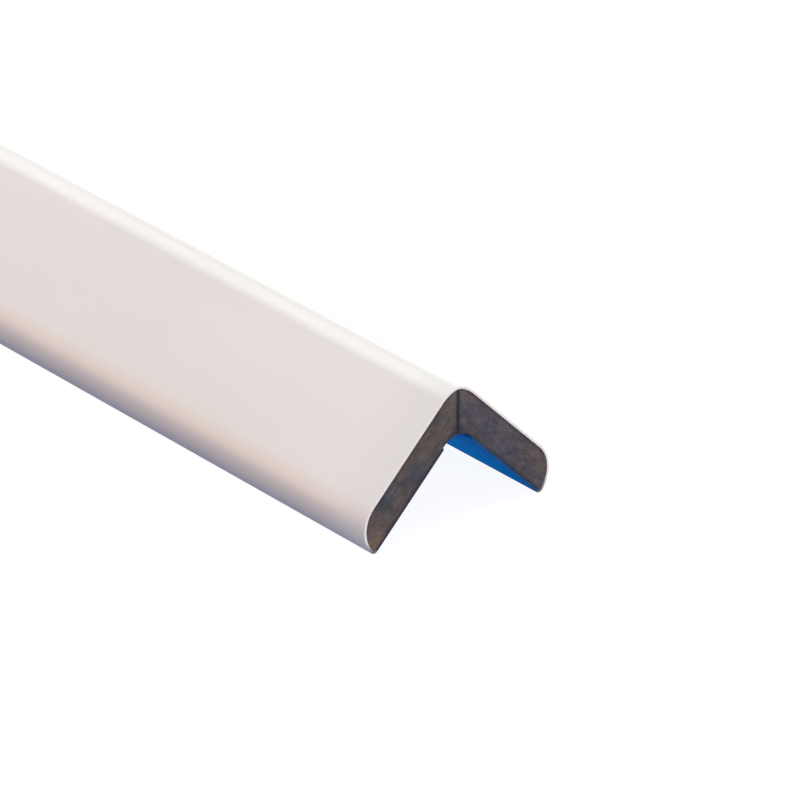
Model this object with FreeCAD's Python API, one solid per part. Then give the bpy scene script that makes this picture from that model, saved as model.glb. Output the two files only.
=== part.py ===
import FreeCAD, Part
import math
import os

# A corner guard: two fibreboard strips mitred along a corner, one white skin folded round
# their outside from tip to tip, and a blue backing strip on the wall side of each leg.
# It lies as it rests on a floor, corner up and on the tips of both legs. X runs along it,
# Y across it, and the origin is at the middle of the floor under it.

# Driving dimensions, in millimetres
length = 1200.0
leg_width = 28.6            # from the outside of the corner, before rounding, to the end of a leg
core_thickness = 5.2
skin_thickness = 0.4
backing_thickness = 0.4
corner_radius = 3.6         # outside of the skin along the corner
nose_radius = 5.6           # outside of the skin along the rounded edge of a leg
tip_radius = 0.8            # outside of the skin where it turns onto the wall side
inner_radius = 3.6          # of the cores, along the wall side of the corner
backing_setback = 0.4       # from the end of that rounding to the edge of a backing strip

# Depths below the outer face of a leg
core_back = skin_thickness + core_thickness
skin_back = core_back + skin_thickness
wall_face = core_back + backing_thickness

# Arc centres of a leg's section, as distance along the leg and depth below its outer face
corner_centre = (corner_radius, corner_radius)
inner_centre = (core_back + inner_radius, core_back + inner_radius)
nose_depth = nose_radius
tip_depth = skin_back - tip_radius
nose_to_tip = math.sqrt((nose_radius - tip_radius) ** 2 - (tip_depth - nose_depth) ** 2)
end_reach = nose_radius if tip_depth > nose_depth else nose_to_tip + tip_radius
nose_centre = (leg_width - end_reach, nose_depth)
tip_centre = (nose_centre[0] + nose_to_tip, tip_depth)

# Directions of the arc ends in that plane
toward_corner = math.radians(-135.0)
toward_face = math.radians(-90.0)
nose_meets_tip = math.atan2(tip_depth - nose_depth, nose_to_tip)
toward_wall = math.radians(90.0)

# Each leg slopes down at 45 degrees, so one step along it or into it drops and spreads by this share
slope = math.sqrt(0.5)
tip_drop = (tip_centre[0] + tip_centre[1]) * slope + tip_radius
backing_drop = (tip_centre[0] + wall_face) * slope
corner_height = max(tip_drop, backing_drop)

left = -1
right = 1


def on_leg(along, depth, side):
    across = side * (along - depth) * slope
    height = corner_height - (along + depth) * slope
    return FreeCAD.Vector(-length / 2, across, height)


def line(start, end):
    return Part.LineSegment(start, end).toShape()


def arc(centre, radius, start_angle, end_angle, side):
    middle_angle = (start_angle + end_angle) / 2
    points = []
    for angle in (start_angle, middle_angle, end_angle):
        along = centre[0] + radius * math.cos(angle)
        depth = centre[1] + radius * math.sin(angle)
        points.append(on_leg(along, depth, side))
    return Part.Arc(*points).toShape()


def outside_path(inset, side):
    # From the middle of the corner over the face, nose and tip of one leg.
    # An inset of nothing is the outside of the skin, and one skin deep is the core under it.
    corner = arc(corner_centre, corner_radius - inset, toward_corner, toward_face, side)
    face = line(on_leg(corner_centre[0], inset, side), on_leg(nose_centre[0], inset, side))
    nose = arc(nose_centre, nose_radius - inset, toward_face, nose_meets_tip, side)
    tip = arc(tip_centre, tip_radius - inset, nose_meets_tip, toward_wall, side)
    return [corner, face, nose, tip]


def run_along(edges):
    wire = Part.Wire(Part.sortEdges(edges)[0])
    solid = Part.Face(wire).extrude(FreeCAD.Vector(length, 0, 0))
    return solid.removeSplitter()


def face_skin():
    edges = []
    for side in (left, right):
        edges += outside_path(0.0, side)
        edges += outside_path(skin_thickness, side)
        edges.append(line(on_leg(tip_centre[0], skin_back, side), on_leg(tip_centre[0], core_back, side)))
    return run_along(edges)


def on_mitre(centre, radius, side):
    # where an arc round this centre meets the plane between the legs
    step = centre[0] - radius * slope
    return on_leg(step, step, side)


def core_strip(side):
    outside = outside_path(skin_thickness, side)
    back = line(on_leg(tip_centre[0], core_back, side), on_leg(inner_centre[0], core_back, side))
    rounding = arc(inner_centre, inner_radius, toward_corner, toward_face, side)
    mitre_top = on_mitre(corner_centre, corner_radius - skin_thickness, side)
    mitre = line(on_mitre(inner_centre, inner_radius, side), mitre_top)
    return run_along(outside + [back, rounding, mitre])


def backing_strip(side):
    corner_edge = inner_centre[0] + backing_setback
    tip_edge = tip_centre[0]
    outline = [
        on_leg(corner_edge, core_back, side),
        on_leg(tip_edge, core_back, side),
        on_leg(tip_edge, wall_face, side),
        on_leg(corner_edge, wall_face, side),
    ]
    edges = [line(outline[i - 1], outline[i]) for i in range(len(outline))]
    return run_along(edges)


solids = {
    "face_skin": face_skin(),
    "left_core_strip": core_strip(left),
    "right_core_strip": core_strip(right),
    "left_backing_strip": backing_strip(left),
    "right_backing_strip": backing_strip(right),
}

os.makedirs("parts", exist_ok=True)
for node, solid in solids.items():
    solid.exportStep(os.path.join("parts", node + ".step"))
    box = solid.BoundBox
    print(f"{node}: {box.XLength:.1f} x {box.YLength:.2f} x {box.ZLength:.2f} mm, "
          f"lowest {box.ZMin:.3f}, {solid.Volume / 1000:.2f} cm3, valid {solid.isValid()}")
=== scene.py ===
import math

import bpy
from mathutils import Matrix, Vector


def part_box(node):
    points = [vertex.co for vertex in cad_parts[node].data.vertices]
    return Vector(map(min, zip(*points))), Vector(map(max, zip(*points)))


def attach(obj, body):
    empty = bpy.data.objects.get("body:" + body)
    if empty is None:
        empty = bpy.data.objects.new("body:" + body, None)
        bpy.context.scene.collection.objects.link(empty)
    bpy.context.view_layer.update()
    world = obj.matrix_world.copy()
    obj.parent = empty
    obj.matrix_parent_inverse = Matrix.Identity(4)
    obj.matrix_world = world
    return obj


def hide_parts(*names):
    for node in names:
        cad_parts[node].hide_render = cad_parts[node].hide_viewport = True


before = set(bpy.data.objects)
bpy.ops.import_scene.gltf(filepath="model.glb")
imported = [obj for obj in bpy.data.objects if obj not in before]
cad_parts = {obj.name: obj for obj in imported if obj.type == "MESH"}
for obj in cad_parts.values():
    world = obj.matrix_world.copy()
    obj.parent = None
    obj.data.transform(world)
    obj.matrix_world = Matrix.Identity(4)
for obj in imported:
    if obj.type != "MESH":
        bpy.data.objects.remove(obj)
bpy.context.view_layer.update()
print("frame loaded:", sorted(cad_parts))

# the guard's section, in metres: leg from the sharp outside corner, depths below the outer face
guardSection = {
    "legWidth": 0.0286,
    "skin": 0.0004,
    "core": 0.0052,
    "backing": 0.0004,
    "foldRadius": 0.0027,       # over the top of the corner
    "flankRadius": 0.0063,      # where the fold eases into a face
    "flankTurn": 24,            # degrees of it on each side
    "noseRadius": 0.0056,
    "tipRadius": 0.0008,
    "innerRadius": 0.0036,
    "backingSetback": 0.0004,
}
slope = math.sqrt(0.5)          # both legs run down at 45 degrees
halfTurn = math.pi
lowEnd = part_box("face_skin")[0].x
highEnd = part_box("face_skin")[1].x
coreBack = guardSection["skin"] + guardSection["core"]
wallFace = coreBack + guardSection["backing"]

# arc centres of a leg: distance along it, depth below its outer face
tipDepth = coreBack + guardSection["skin"] - guardSection["tipRadius"]
arcGap = guardSection["noseRadius"] - guardSection["tipRadius"]
noseToTip = math.sqrt(arcGap ** 2 - (tipDepth - guardSection["noseRadius"]) ** 2)
tipCentre = (guardSection["legWidth"] - guardSection["tipRadius"], tipDepth)
noseCentre = (tipCentre[0] - noseToTip, guardSection["noseRadius"])
flankTurn = math.radians(guardSection["flankTurn"])
flankGap = guardSection["flankRadius"] - guardSection["foldRadius"]
foldDepth = guardSection["flankRadius"] - flankGap * math.cos(flankTurn)
foldCentre = (foldDepth, foldDepth)
flankCentre = (foldDepth + flankGap * math.sin(flankTurn), guardSection["flankRadius"])
innerCentre = (coreBack + guardSection["innerRadius"], coreBack + guardSection["innerRadius"])
noseTurn = halfTurn / 2 + math.atan2(tipDepth - noseCentre[1], noseToTip)
cornerHeight = (tipCentre[0] + tipCentre[1]) * slope + guardSection["tipRadius"]

left = -1
right = 1
touching = 1e-6                 # metres, closer than this is the same place
smoothBelow = 35                # degrees, faces that meet flatter than this are shaded as one
bevelAbove = 60                 # degrees, edges sharper than this are bevelled


def onLeg(along, depth, side, x=lowEnd):
    return Vector((x, side * (along - depth) * slope, cornerHeight - (along + depth) * slope))


def deselectAll():
    if bpy.context.object and bpy.context.object.mode != "OBJECT":
        bpy.ops.object.mode_set(mode="OBJECT")
    bpy.ops.object.select_all(action="DESELECT")


def startPoint(name, place):
    # a small plane merged to one point, which the section is drawn from
    deselectAll()
    bpy.ops.mesh.primitive_plane_add(size=guardSection["skin"], location=place)
    piece = bpy.context.object
    piece.name = name
    piece.data.name = name
    bpy.ops.object.transform_apply(location=True, rotation=True, scale=True)
    bpy.ops.object.mode_set(mode="EDIT")
    bpy.ops.mesh.select_mode(type="VERT")
    bpy.ops.mesh.select_all(action="SELECT")
    bpy.ops.mesh.merge(type="CENTER")
    return piece


def drawTo(start, end):
    bpy.ops.mesh.extrude_region_move(TRANSFORM_OT_translate={"value": end - start})


def sweep(centre, angle, steps, side):
    place = onLeg(centre[0], centre[1], side)
    bpy.ops.mesh.spin(steps=steps, angle=side * angle, center=place, axis=(1, 0, 0))


def drawOutside(inset, side, steps):
    # over the fold, down the face, round the nose and under the tip
    sweep(foldCentre, halfTurn / 4 - flankTurn, steps["fold"], side)
    sweep(flankCentre, flankTurn, steps["flank"], side)
    drawTo(onLeg(flankCentre[0], inset, side), onLeg(noseCentre[0], inset, side))
    sweep(noseCentre, noseTurn, steps["nose"], side)
    sweep(tipCentre, halfTurn - noseTurn, steps["tip"], side)


def drawAlong():
    bpy.ops.mesh.select_all(action="SELECT")
    bpy.ops.mesh.extrude_region_move(TRANSFORM_OT_translate={"value": (highEnd - lowEnd, 0, 0)})


def pickEdges(piece, test):
    # back in edit mode with only the edges that pass, by their two ends
    bpy.ops.object.mode_set(mode="EDIT")
    bpy.ops.mesh.select_mode(type="EDGE")
    bpy.ops.mesh.select_all(action="DESELECT")
    bpy.ops.object.mode_set(mode="OBJECT")
    mesh = piece.data
    for edge in mesh.edges:
        a, b = (mesh.vertices[i].co for i in edge.vertices)
        edge.select = bool(test(a, b))
    bpy.ops.object.mode_set(mode="EDIT")
    bpy.ops.mesh.select_mode(type="EDGE")


def bevelPicked(width, steps):
    bpy.ops.mesh.bevel(offset=width, segments=steps, affect="EDGES")


def addSharpBevel(piece, width, steps):
    bevel = piece.modifiers.new("sharpEdges", "BEVEL")
    bevel.width = width
    bevel.segments = steps
    bevel.limit_method = "ANGLE"
    bevel.angle_limit = math.radians(bevelAbove)


def applyAll(piece):
    deselectAll()
    piece.select_set(True)
    bpy.context.view_layer.objects.active = piece
    for modifier in list(piece.modifiers):
        bpy.ops.object.modifier_apply(modifier=modifier.name)


def cleanMesh(piece):
    deselectAll()
    piece.select_set(True)
    bpy.context.view_layer.objects.active = piece
    bpy.ops.object.mode_set(mode="EDIT")
    bpy.ops.mesh.select_all(action="SELECT")
    bpy.ops.mesh.remove_doubles(threshold=touching)
    bpy.ops.mesh.normals_make_consistent(inside=False)
    bpy.ops.object.mode_set(mode="OBJECT")


def sameX(a, b):
    return abs(a.x - b.x) < touching


def atEnd(point):
    return min(abs(point.x - lowEnd), abs(point.x - highEnd)) < touching


def finishPiece(piece, node):
    cleanMesh(piece)
    bpy.ops.object.shade_smooth_by_angle(angle=math.radians(smoothBelow))
    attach(piece, "root")
    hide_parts(node)
    print("made", piece.name, len(piece.data.polygons), "faces")


skinPiece = {
    "name": "folded_white_skin",
    "steps": {"fold": 10, "flank": 10, "nose": 26, "tip": 12},
    "lengthCuts": 119,
    "cutEdgeBevel": 0.00006,
    "bevelSteps": 2,
}


def makeSkin():
    top = onLeg(foldCentre[0], foldCentre[1], right) + Vector((0, 0, guardSection["foldRadius"]))
    piece = startPoint(skinPiece["name"], top)
    drawOutside(0.0, right, skinPiece["steps"])
    bpy.ops.object.mode_set(mode="OBJECT")
    mirror = piece.modifiers.new("otherLeg", "MIRROR")
    mirror.use_axis = (False, True, False)
    mirror.merge_threshold = touching
    applyAll(piece)
    # pull the bent line along the guard, then cut the long strips into short ones
    bpy.ops.object.mode_set(mode="EDIT")
    drawAlong()
    pickEdges(piece, lambda a, b: not sameX(a, b))
    bpy.ops.mesh.subdivide(number_cuts=skinPiece["lengthCuts"])
    cleanMesh(piece)
    # thicken it inwards
    outside = max(piece.data.polygons, key=lambda face: face.center.z)
    sheet = piece.modifiers.new("sheet", "SOLIDIFY")
    sheet.thickness = guardSection["skin"]
    sheet.offset = -1 if outside.normal.z > 0 else 1
    sheet.use_even_offset = True
    addSharpBevel(piece, skinPiece["cutEdgeBevel"], skinPiece["bevelSteps"])
    applyAll(piece)
    return piece


corePieces = {
    "names": {left: "left_fibre_core", right: "right_fibre_core"},
    "nodes": {left: "left_core_strip", right: "right_core_strip"},
    "steps": {"fold": 8, "flank": 8, "nose": 22, "tip": 6, "inner": 10},
    "endBevel": 0.00005,
    "mitreNotch": 0.00018,      # how far the saw has rounded off the mitre's edge at the cut ends
    "bevelSteps": 2,
}
onMitre = 4 * touching          # metres, points this near the middle lie on the mitre


def makeCore(side):
    skin = guardSection["skin"]
    rise = Vector((0, 0, guardSection["foldRadius"] - skin))
    piece = startPoint(corePieces["names"][side], onLeg(foldCentre[0], foldCentre[1], side) + rise)
    drawOutside(skin, side, corePieces["steps"])
    drawTo(onLeg(tipCentre[0], coreBack, side), onLeg(innerCentre[0], coreBack, side))
    sweep(innerCentre, -halfTurn / 4, corePieces["steps"]["inner"], side)
    bpy.ops.mesh.select_all(action="SELECT")
    bpy.ops.mesh.edge_face_add()
    drawAlong()
    cleanMesh(piece)
    # the mitre's edge at both cut ends, then the rest of their outline
    pickEdges(piece, lambda a, b: sameX(a, b) and abs(a.y) < onMitre and abs(b.y) < onMitre)
    bevelPicked(corePieces["mitreNotch"], corePieces["bevelSteps"])
    pickEdges(piece, lambda a, b: atEnd(a) and atEnd(b) and sameX(a, b) and abs(a.y + b.y) > onMitre)
    bevelPicked(corePieces["endBevel"], corePieces["bevelSteps"])
    bpy.ops.object.mode_set(mode="OBJECT")
    return piece


backingPieces = {
    "names": {left: "left_blue_film", right: "right_blue_film"},
    "nodes": {left: "left_backing_strip", right: "right_backing_strip"},
    "lengthCuts": 119,
    "widthCuts": 11,
    "edgeBevel": 0.00008,
    "bevelSteps": 2,
    "feather": 0.00028,         # the film thins out along the corner
    "featherSteps": 3,
}


def makeBacking(side):
    # a plane on the wall side of the leg, laid at its slope and thickened towards the core
    nearCorner = innerCentre[0] + guardSection["backingSetback"]
    middle = onLeg((nearCorner + tipCentre[0]) / 2, wallFace, side, (lowEnd + highEnd) / 2)
    deselectAll()
    bpy.ops.mesh.primitive_plane_add(size=1, location=middle, rotation=(-side * halfTurn / 4, 0, 0))
    piece = bpy.context.object
    piece.name = backingPieces["names"][side]
    piece.data.name = piece.name
    piece.scale = (highEnd - lowEnd, tipCentre[0] - nearCorner, 1)
    bpy.ops.object.transform_apply(location=True, rotation=True, scale=True)
    pickEdges(piece, lambda a, b: not sameX(a, b))
    bpy.ops.mesh.subdivide(number_cuts=backingPieces["lengthCuts"])
    pickEdges(piece, lambda a, b: sameX(a, b))
    bpy.ops.mesh.subdivide(number_cuts=backingPieces["widthCuts"])
    bpy.ops.object.mode_set(mode="OBJECT")
    film = piece.modifiers.new("film", "SOLIDIFY")
    film.thickness = guardSection["backing"]
    film.offset = -1 if piece.data.polygons[0].normal.z < 0 else 1
    applyAll(piece)
    thinEdge = onLeg(nearCorner, wallFace, side).yz
    pickEdges(piece, lambda a, b: max((a.yz - thinEdge).length, (b.yz - thinEdge).length) < touching)
    bevelPicked(backingPieces["feather"], backingPieces["featherSteps"])
    bpy.ops.object.mode_set(mode="OBJECT")
    addSharpBevel(piece, backingPieces["edgeBevel"], backingPieces["bevelSteps"])
    applyAll(piece)
    return piece


skinObject = makeSkin()
finishPiece(skinObject, "face_skin")
coreObjects = {}
backingObjects = {}
for side in (left, right):
    coreObjects[side] = makeCore(side)
    finishPiece(coreObjects[side], corePieces["nodes"][side])
    backingObjects[side] = makeBacking(side)
    finishPiece(backingObjects[side], backingPieces["nodes"][side])


# looks

noiseSpan = (0.3, 0.7)          # nearly all of a noise lies in here
noiseMiddle = (0.35, 0.65)      # a narrower span, for clearer patches
noneToAll = (0, 1)


def newMaterial(name):
    material = bpy.data.materials.new(name)
    material.use_nodes = True
    nodes = material.node_tree.nodes
    return material, nodes, material.node_tree.links, nodes["Principled BSDF"]


def newGroup(name, number, results):
    # an effect that takes a place and one number
    group = bpy.data.node_groups.new(name, "ShaderNodeTree")
    group.interface.new_socket(name="Vector", in_out="INPUT", socket_type="NodeSocketVector")
    group.interface.new_socket(name=number, in_out="INPUT", socket_type="NodeSocketFloat")
    for label in results:
        group.interface.new_socket(name=label, in_out="OUTPUT", socket_type="NodeSocketFloat")
    nodes = group.nodes
    return group, nodes, group.links, nodes.new("NodeGroupInput"), nodes.new("NodeGroupOutput")


def placeGroup(nodes, links, group, vector, number):
    node = nodes.new("ShaderNodeGroup")
    node.node_tree = group
    links.new(vector, node.inputs[0])
    node.inputs[1].default_value = number
    return node


def addMath(nodes, links, operation, *values):
    node = nodes.new("ShaderNodeMath")
    node.operation = operation
    for socket, value in zip(node.inputs, values):
        if isinstance(value, (int, float)):
            socket.default_value = value
        else:
            links.new(value, socket)
    return node.outputs[0]


def addNoise(nodes, links, vector, waves, detail, roughness=0.5):
    stretch = nodes.new("ShaderNodeVectorMath")
    stretch.operation = "MULTIPLY"
    links.new(vector, stretch.inputs[0])
    stretch.inputs[1].default_value = waves
    noise = nodes.new("ShaderNodeTexNoise")
    noise.inputs["Scale"].default_value = 1.0
    noise.inputs["Detail"].default_value = detail
    noise.inputs["Roughness"].default_value = roughness
    links.new(stretch.outputs[0], noise.inputs["Vector"])
    return noise.outputs["Fac"]


def addRange(nodes, links, value, span, newSpan, smooth=False):
    node = nodes.new("ShaderNodeMapRange")
    node.interpolation_type = "SMOOTHSTEP" if smooth else "LINEAR"
    for label, number in zip(("From Min", "From Max", "To Min", "To Max"), (*span, *newSpan)):
        node.inputs[label].default_value = number
    links.new(value, node.inputs["Value"])
    return node.outputs["Result"]


def addMix(nodes, links, factor, first, second, blend="MIX"):
    node = nodes.new("ShaderNodeMix")
    node.data_type = "RGBA"
    node.blend_type = blend
    # sockets 6 and 7 of a Mix node are its two colours, and result 2 is their mix
    for socket, value in ((node.inputs[0], factor), (node.inputs[6], first), (node.inputs[7], second)):
        if isinstance(value, (int, float)):
            socket.default_value = value
        elif isinstance(value, tuple):
            socket.default_value = (*value, 1.0)
        else:
            links.new(value, socket)
    return node.outputs[2]


def addBump(nodes, links, height, look, shader):
    bump = nodes.new("ShaderNodeBump")
    bump.inputs["Distance"].default_value = look["reliefHeight"]
    bump.inputs["Strength"].default_value = look["reliefStrength"]
    links.new(height, bump.inputs["Height"])
    links.new(bump.outputs["Normal"], shader.inputs["Normal"])


sheetGrainLook = {
    "drift": ((14, 60, 60), 3),         # waves in each metre along, across and up, then detail
    "streak": ((9, 1400, 1400), 2),
    "grainDetail": 2,
}


def makeSheetGrain():
    # slow drift of tone along a rolled sheet, its fine emboss, and faint drawn streaks
    group, nodes, links, start, end = newGroup("sheetGrain", "Grain Size", ("Drift", "Grain", "Streak"))
    place = start.outputs["Vector"]
    grain = nodes.new("ShaderNodeTexNoise")
    grain.inputs["Detail"].default_value = sheetGrainLook["grainDetail"]
    links.new(place, grain.inputs["Vector"])
    links.new(addMath(nodes, links, "DIVIDE", 1.0, start.outputs["Grain Size"]), grain.inputs["Scale"])
    links.new(addNoise(nodes, links, place, *sheetGrainLook["drift"]), end.inputs["Drift"])
    links.new(grain.outputs["Fac"], end.inputs["Grain"])
    links.new(addNoise(nodes, links, place, *sheetGrainLook["streak"]), end.inputs["Streak"])
    return group


def makeTipFade():
    # one at the tips of the legs, nothing from this height up
    group, nodes, links, start, end = newGroup("tipFade", "Height", ("Fade",))
    parts = nodes.new("ShaderNodeSeparateXYZ")
    links.new(start.outputs["Vector"], parts.inputs[0])
    share = addMath(nodes, links, "DIVIDE", parts.outputs["Z"], start.outputs["Height"])
    links.new(addRange(nodes, links, share, (0, 1), (1, 0), True), end.inputs["Fade"])
    return group


whiteFoilLook = {
    "pale": (0.78, 0.775, 0.765),
    "warm": (0.76, 0.75, 0.735),
    "cutEdge": (0.92, 0.85, 0.79),
    "cutEdgeDeep": (0.86, 0.77, 0.69),
    # a much darker cut edge near the bottom of each tip, fading out by this height
    "darkTip": (0.17, 0.155, 0.18),
    "darkTipHeight": 0.003,
    "gloss": 0.62,
    "roughness": (0.36, 0.46),
    "cutEdgeRoughness": 0.7,
    "grainSize": 0.00035,
    "reliefHeight": 0.000012,
    "reliefStrength": 0.5,
}


def makeWhiteFoil(sheetGrain):
    material, nodes, links, shader = newMaterial("whiteFoil")
    place = nodes.new("ShaderNodeTexCoord").outputs["Object"]
    grain = placeGroup(nodes, links, sheetGrain, place, whiteFoilLook["grainSize"])
    tone = addRange(nodes, links, grain.outputs["Drift"], noiseMiddle, noneToAll, True)
    colour = addMix(nodes, links, tone, whiteFoilLook["warm"], whiteFoilLook["pale"])
    links.new(colour, shader.inputs["Base Color"])
    rough = addRange(nodes, links, grain.outputs["Grain"], noiseSpan, whiteFoilLook["roughness"])
    links.new(rough, shader.inputs["Roughness"])
    shader.inputs["Specular IOR Level"].default_value = whiteFoilLook["gloss"]
    addBump(nodes, links, grain.outputs["Grain"], whiteFoilLook, shader)
    return material


def makeFoilEdge(sheetGrain, tipFade):
    # the sheet's colour where the saw cut through it, much darker towards the tips
    material, nodes, links, shader = newMaterial("foilCutEdge")
    place = nodes.new("ShaderNodeTexCoord").outputs["Object"]
    grain = placeGroup(nodes, links, sheetGrain, place, whiteFoilLook["grainSize"])
    tone = addRange(nodes, links, grain.outputs["Grain"], noiseMiddle, noneToAll, True)
    colour = addMix(nodes, links, tone, whiteFoilLook["cutEdgeDeep"], whiteFoilLook["cutEdge"])
    tips = placeGroup(nodes, links, tipFade, place, whiteFoilLook["darkTipHeight"])
    colour = addMix(nodes, links, tips.outputs["Fade"], colour, whiteFoilLook["darkTip"])
    links.new(colour, shader.inputs["Base Color"])
    shader.inputs["Roughness"].default_value = whiteFoilLook["cutEdgeRoughness"]
    return material


cutFibreLook = {
    # waves in each metre along the guard, through the board and along the leg, then detail and roughness
    "fibre": ((1500, 3600, 1100), 4, 0.6),
    "patch": ((200, 330, 210), 3),
    "shade": ((500, 900, 640), 2),
    "spots": ((2600, 3400, 2200), 1),
    "sawLines": ((1, 120, 2400), 1),
    "pitSpan": (0.64, 0.74),            # spots above this are pits
    "faceSpan": (0.72, 1.0),            # the outer share of the board is pressed harder
    "sawLineHeight": 0.5,               # beside the fibres' own relief
    "pitHeight": -0.7,
}


def makeCutFibre():
    # pressed fibres on a sawn end: Y is the depth from the middle of the board, Z runs along it
    results = ("Fibre", "Patch", "Shade", "Pit", "Face", "Relief")
    group, nodes, links, start, end = newGroup("cutFibre", "Half Thickness", results)
    place = start.outputs["Vector"]
    fibre = addNoise(nodes, links, place, *cutFibreLook["fibre"])
    patch = addNoise(nodes, links, place, *cutFibreLook["patch"])
    shade = addNoise(nodes, links, place, *cutFibreLook["shade"])
    spots = addNoise(nodes, links, place, *cutFibreLook["spots"])
    pit = addRange(nodes, links, spots, cutFibreLook["pitSpan"], noneToAll, True)
    parts = nodes.new("ShaderNodeSeparateXYZ")
    links.new(place, parts.inputs[0])
    depth = addMath(nodes, links, "ABSOLUTE", parts.outputs["Y"])
    share = addMath(nodes, links, "DIVIDE", depth, start.outputs["Half Thickness"])
    face = addRange(nodes, links, share, cutFibreLook["faceSpan"], noneToAll, True)
    sawLines = addNoise(nodes, links, place, *cutFibreLook["sawLines"])
    relief = addMath(nodes, links, "MULTIPLY_ADD", sawLines, cutFibreLook["sawLineHeight"], fibre)
    relief = addMath(nodes, links, "MULTIPLY_ADD", pit, cutFibreLook["pitHeight"], relief)
    for label, value in zip(results, (fibre, patch, shade, pit, face, relief)):
        links.new(value, end.inputs[label])
    return group


fibreboardLook = {
    "grey": {left: (0.066, 0.067, 0.075), right: (0.081, 0.070, 0.081)},
    "brown": (0.106, 0.080, 0.071),
    "brownSpan": {left: (0.32, 0.56), right: (0.43, 0.67)},     # patch values, from grey to brown
    "patchShift": {left: 0.071, right: 0.117},                  # metres, where along the patches it is cut
    "tip": (0.21, 0.14, 0.085),
    "tipShare": {left: 1.0, right: 0.0},
    "tipHeight": 0.005,
    "clouds": (0.78, 1.22),             # how much darker and lighter they make it
    "strands": (0.72, 1.28),
    "dark": (0.034, 0.031, 0.039),
    "darkShare": 0.6,                   # the board's own darker colour under both faces, and painted shade in the pits
    "glue": (0.030, 0.031, 0.040),
    "glueSpan": (0.00021, 0.000588),    # metres from the mitre, from most glue to none
    "glueShare": (0.85, 0.0),           # how much of the board it covers there
    "roughness": (0.74, 0.92),
    "reliefHeight": 0.00006,
    "reliefStrength": 0.6,
}


def makeFibreboard(cutFibre, tipFade, side):
    material, nodes, links, shader = newMaterial("leftFibreboard" if side == left else "rightFibreboard")
    place = nodes.new("ShaderNodeTexCoord").outputs["Object"]
    # turn the board level, with its middle at zero depth
    middleDepth = guardSection["skin"] + guardSection["core"] / 2
    offset = side * (middleDepth - cornerHeight * slope)
    level = nodes.new("ShaderNodeMapping")
    level.inputs["Rotation"].default_value = (-side * halfTurn / 4, 0, 0)
    level.inputs["Location"].default_value = (fibreboardLook["patchShift"][side], offset, 0)
    links.new(place, level.inputs["Vector"])
    fibre = placeGroup(nodes, links, cutFibre, level.outputs["Vector"], guardSection["core"] / 2)
    # patches of brown and grey, browner at the tip
    tone = addRange(nodes, links, fibre.outputs["Patch"], fibreboardLook["brownSpan"][side], noneToAll, True)
    board = addMix(nodes, links, tone, fibreboardLook["grey"][side], fibreboardLook["brown"])
    tips = placeGroup(nodes, links, tipFade, place, fibreboardLook["tipHeight"])
    tipTone = addMath(nodes, links, "MULTIPLY", tips.outputs["Fade"], fibreboardLook["tipShare"][side])
    board = addMix(nodes, links, tipTone, board, fibreboardLook["tip"])
    # cloudy tone, strands and painted shade in the pits, darker under both faces
    clouds = addRange(nodes, links, fibre.outputs["Shade"], noiseSpan, fibreboardLook["clouds"])
    board = addMix(nodes, links, 1.0, board, clouds, "MULTIPLY")
    strands = addRange(nodes, links, fibre.outputs["Fibre"], noiseSpan, fibreboardLook["strands"])
    board = addMix(nodes, links, 1.0, board, strands, "MULTIPLY")
    # the pits get painted shade, the pressed faces their own darker colour
    for part in ("Face", "Pit"):
        share = addMath(nodes, links, "MULTIPLY", fibre.outputs[part], fibreboardLook["darkShare"])
        board = addMix(nodes, links, share, board, fibreboardLook["dark"])
    # dark glue pressed out of the mitre
    across = nodes.new("ShaderNodeSeparateXYZ")
    links.new(place, across.inputs[0])
    offMitre = addMath(nodes, links, "ABSOLUTE", across.outputs["Y"])
    glue = addRange(nodes, links, offMitre, fibreboardLook["glueSpan"], fibreboardLook["glueShare"], True)
    board = addMix(nodes, links, glue, board, fibreboardLook["glue"])
    links.new(board, shader.inputs["Base Color"])
    rough = addRange(nodes, links, fibre.outputs["Fibre"], noiseSpan, fibreboardLook["roughness"])
    links.new(rough, shader.inputs["Roughness"])
    addBump(nodes, links, fibre.outputs["Relief"], fibreboardLook, shader)
    return material


blueFilmLook = {
    "blue": (0.002, 0.19, 0.62),
    "deep": (0.002, 0.15, 0.52),
    "cutEdge": {left: (0.032, 0.037, 0.062), right: (0.008, 0.085, 0.24)},
    "cutEdgeDeep": {left: (0.025, 0.029, 0.049), right: (0.006, 0.065, 0.19)},
    "gloss": 0.02,
    "roughness": (0.72, 0.84),
    "cutEdgeRoughness": 0.6,
    "grainSize": 0.0012,
    "reliefHeight": 0.00002,
    "reliefStrength": 0.5,
}


def makeBlueFilm(sheetGrain):
    material, nodes, links, shader = newMaterial("blueFilm")
    place = nodes.new("ShaderNodeTexCoord").outputs["Object"]
    grain = placeGroup(nodes, links, sheetGrain, place, blueFilmLook["grainSize"])
    tone = addRange(nodes, links, grain.outputs["Streak"], noiseSpan, noneToAll, True)
    colour = addMix(nodes, links, tone, blueFilmLook["deep"], blueFilmLook["blue"])
    links.new(colour, shader.inputs["Base Color"])
    rough = addRange(nodes, links, grain.outputs["Drift"], noiseSpan, blueFilmLook["roughness"])
    links.new(rough, shader.inputs["Roughness"])
    shader.inputs["Specular IOR Level"].default_value = blueFilmLook["gloss"]
    addBump(nodes, links, grain.outputs["Grain"], blueFilmLook, shader)
    return material


def makeFilmEdge(sheetGrain, side):
    # glue and film, dark where the saw cut through them
    material, nodes, links, shader = newMaterial("leftFilmCutEdge" if side == left else "rightFilmCutEdge")
    place = nodes.new("ShaderNodeTexCoord").outputs["Object"]
    grain = placeGroup(nodes, links, sheetGrain, place, blueFilmLook["grainSize"])
    tone = addRange(nodes, links, grain.outputs["Grain"], noiseMiddle, noneToAll, True)
    colour = addMix(nodes, links, tone, blueFilmLook["cutEdgeDeep"][side], blueFilmLook["cutEdge"][side])
    links.new(colour, shader.inputs["Base Color"])
    shader.inputs["Roughness"].default_value = blueFilmLook["cutEdgeRoughness"]
    return material


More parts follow.
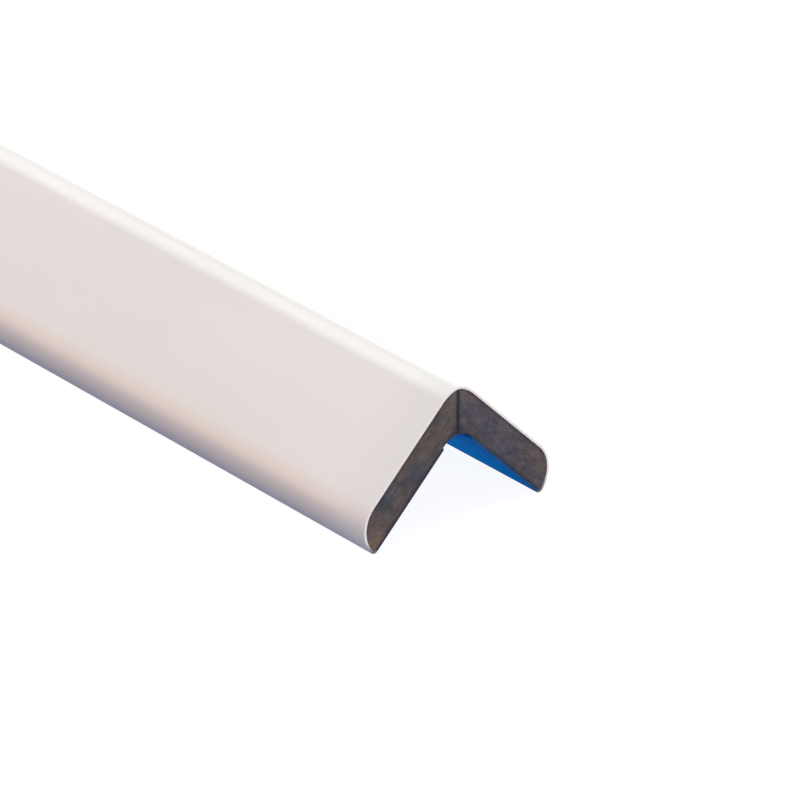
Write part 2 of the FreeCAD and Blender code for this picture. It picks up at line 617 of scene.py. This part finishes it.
endLean = 0.3                   # faces that lean this far along the guard belong to a cut end


def setMaterial(piece, material):
    piece.data.materials.clear()
    piece.data.materials.append(material)


def setEndMaterial(piece, material):
    piece.data.materials.append(material)
    for face in piece.data.polygons:
        if abs(face.normal.x) > endLean:
            face.material_index = 1


sheetGrain = makeSheetGrain()
cutFibre = makeCutFibre()
tipFade = makeTipFade()
setMaterial(skinObject, makeWhiteFoil(sheetGrain))
setEndMaterial(skinObject, makeFoilEdge(sheetGrain, tipFade))
blueFilm = makeBlueFilm(sheetGrain)
for side in (left, right):
    setMaterial(coreObjects[side], makeFibreboard(cutFibre, tipFade, side))
    setMaterial(backingObjects[side], blueFilm)
    setEndMaterial(backingObjects[side], makeFilmEdge(sheetGrain, side))
print("materials set")


# stage: floor, light and camera

floorPiece = {
    "size": 60.0,
    "colour": (0.20, 0.20, 0.20),
    "roughness": 0.9,
    "gloss": 0.1,
    "glow": 0.91,               # a light table, so shadows on it stay pale
}


def makeFloor():
    deselectAll()
    bpy.ops.mesh.primitive_plane_add(size=floorPiece["size"], location=(0, 0, 0))
    floor = bpy.context.object
    floor.name = "floor"
    material, _, _, shader = newMaterial("paleFloor")
    shader.inputs["Base Color"].default_value = (*floorPiece["colour"], 1)
    shader.inputs["Roughness"].default_value = floorPiece["roughness"]
    shader.inputs["Specular IOR Level"].default_value = floorPiece["gloss"]
    shader.inputs["Emission Color"].default_value = (1, 1, 1, 1)
    shader.inputs["Emission Strength"].default_value = floorPiece["glow"]
    setMaterial(floor, material)
    # light from below passes through the table, and none is thrown back up at the guard
    floor.visible_diffuse = False
    floor.visible_glossy = False
    floor.visible_shadow = False


studioLight = {
    # light from all round, from straight below (0) to straight above (1)
    "sky": (
        (0.00, (0.06, 0.15, 0.31)),
        (0.49, (0.06, 0.15, 0.31)),
        (0.50, (0.60, 0.60, 0.60)),
        (0.53, (0.60, 0.60, 0.60)),
        (0.56, (0.49, 0.485, 0.488)),
    ),
    # where it comes from, how wide it looks in degrees, strength, colour
    "lamps": {
        "key": ((-0.69, -0.12, 0.71), 30, 1.18, (0.86, 0.965, 1.0)),
        "back": ((0.0, 0.6, 0.8), 60, 0.95, (1.0, 0.99, 0.94)),
        "rim": ((-0.69, 0.68, 0.22), 40, 0.66, (1.0, 1.0, 0.94)),
        "warmSide": ((-0.69, -0.71, 0.125), 34, 1.0, (1.0, 0.50, 0.22)),
        "endFill": ((0.99, 0.0, 0.12), 40, 1.84, (1.0, 0.947, 0.975)),
    },
    "lampDistance": 3,
}
underStrip = {
    "width": 0.018,
    "below": 0.010,             # under the table, straight below the hollow of the guard
    "watts": 0.086,
    "colour": (1.0, 1.0, 0.64),
}


def addLamp(name):
    direction, width, strength, colour = studioLight["lamps"][name]
    deselectAll()
    bpy.ops.object.light_add(type="SUN", location=Vector(direction) * studioLight["lampDistance"])
    lamp = bpy.context.object
    lamp.name = name
    lamp.data.angle = math.radians(width)
    lamp.data.energy = strength
    lamp.data.color = colour
    lamp.rotation_euler = Vector(direction).to_track_quat("Z", "Y").to_euler()


def addUnderStrip():
    deselectAll()
    place = (0, 0, -underStrip["below"])
    bpy.ops.object.light_add(type="AREA", location=place, rotation=(halfTurn, 0, 0))
    lamp = bpy.context.object
    lamp.name = "underStrip"
    lamp.data.shape = "RECTANGLE"
    lamp.data.size = highEnd - lowEnd
    lamp.data.size_y = underStrip["width"]
    lamp.data.energy = underStrip["watts"]
    lamp.data.color = underStrip["colour"]


def makeSky():
    world = bpy.data.worlds.new("studio")
    world.use_nodes = True
    nodes = world.node_tree.nodes
    links = world.node_tree.links
    parts = nodes.new("ShaderNodeSeparateXYZ")
    links.new(nodes.new("ShaderNodeTexCoord").outputs["Generated"], parts.inputs[0])
    height = addRange(nodes, links, parts.outputs["Z"], (-1, 1), (0, 1))
    ramp = nodes.new("ShaderNodeValToRGB")
    stops = ramp.color_ramp.elements
    for place, _ in studioLight["sky"][len(stops):]:
        stops.new(place)
    for stop, (place, colour) in zip(sorted(stops, key=lambda item: item.position), studioLight["sky"]):
        stop.position = place
        stop.color = (*colour, 1)
    links.new(height, ramp.inputs["Fac"])
    links.new(ramp.outputs["Color"], nodes["Background"].inputs["Color"])
    bpy.context.scene.world = world


def makeLight():
    makeSky()
    for name in studioLight["lamps"]:
        addLamp(name)
    # this one lights the sawn end, with no sheen along the guard
    bpy.data.objects["endFill"].visible_glossy = False
    addUnderStrip()


photoCamera = {
    "azimuth": 50.78,
    "elevation": 26.08,
    "focalPixels": 7121.0,
    "imagePixels": 800,
    "cornerPixel": (458.20, 377.76),    # where the sharp outside corner of the near end shows
    "cornerDepth": 1.0548,
    "sensor": 36.0,
    "clip": (0.01, 100),
}


def makeCamera():
    deselectAll()
    azimuth = math.radians(photoCamera["azimuth"])
    elevation = math.radians(photoCamera["elevation"])
    level = math.cos(elevation)
    back = Vector((math.sin(azimuth) * level, -math.cos(azimuth) * level, math.sin(elevation)))
    across = Vector((math.cos(azimuth), math.sin(azimuth), 0))
    up = back.cross(across)
    metresPerPixel = photoCamera["cornerDepth"] / photoCamera["focalPixels"]
    middle = photoCamera["imagePixels"] / 2
    shiftRight = (photoCamera["cornerPixel"][0] - middle) * metresPerPixel
    shiftUp = (middle - photoCamera["cornerPixel"][1]) * metresPerPixel
    sharpCorner = onLeg(0, 0, right, highEnd)
    eye = sharpCorner - across * shiftRight - up * shiftUp + back * photoCamera["cornerDepth"]
    bpy.ops.object.camera_add(location=eye, rotation=(halfTurn / 2 - elevation, 0, azimuth))
    camera = bpy.context.object
    camera.name = "photoCamera"
    camera.data.sensor_width = photoCamera["sensor"]
    camera.data.lens = photoCamera["focalPixels"] * photoCamera["sensor"] / photoCamera["imagePixels"]
    camera.data.clip_start, camera.data.clip_end = photoCamera["clip"]
    bpy.context.scene.camera = camera


makeFloor()
makeLight()
makeCamera()
bpy.context.scene.view_settings.view_transform = "Standard"
print("stage set")
